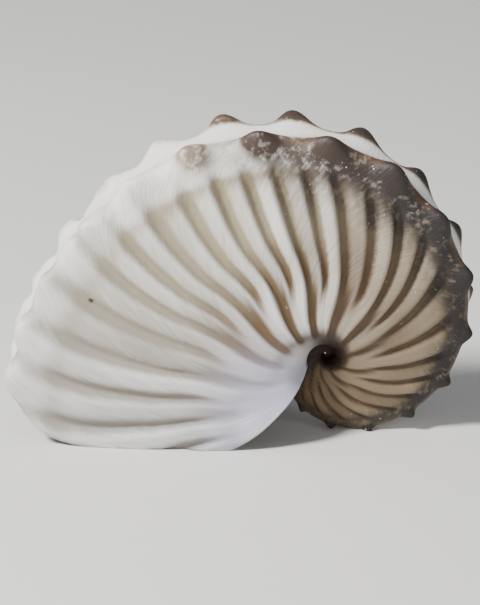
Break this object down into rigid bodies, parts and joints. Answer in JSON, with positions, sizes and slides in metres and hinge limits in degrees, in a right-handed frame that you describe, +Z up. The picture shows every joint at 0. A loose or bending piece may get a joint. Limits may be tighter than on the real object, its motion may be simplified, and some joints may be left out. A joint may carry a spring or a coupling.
{
  "type": "paper nautilus shell",
  "caption": "Thin, flat-coiled paper nautilus shell standing on its mouth, with a broad keel edged by two alternating rows of blunt knobs.",
  "frame": {"origin": "middle of the bounding box, on the surface that the shell stands on", "axes": "+Z up; X along the shell's length with the mouth's outer corner at -X; Y along the axis of the coil, across the shell's breadth"},
  "size_m": [0.0792, 0.0238, 0.0541],
  "materials": {
    "shell_lime": "thin translucent off-white shell with rounded ribs, smoky brown along the older half of the keel and in the umbilicus, low satin gloss"
  },
  "bodies": {
    "root": {"shell": "shell_lime"}
  },
  "joints": []
}
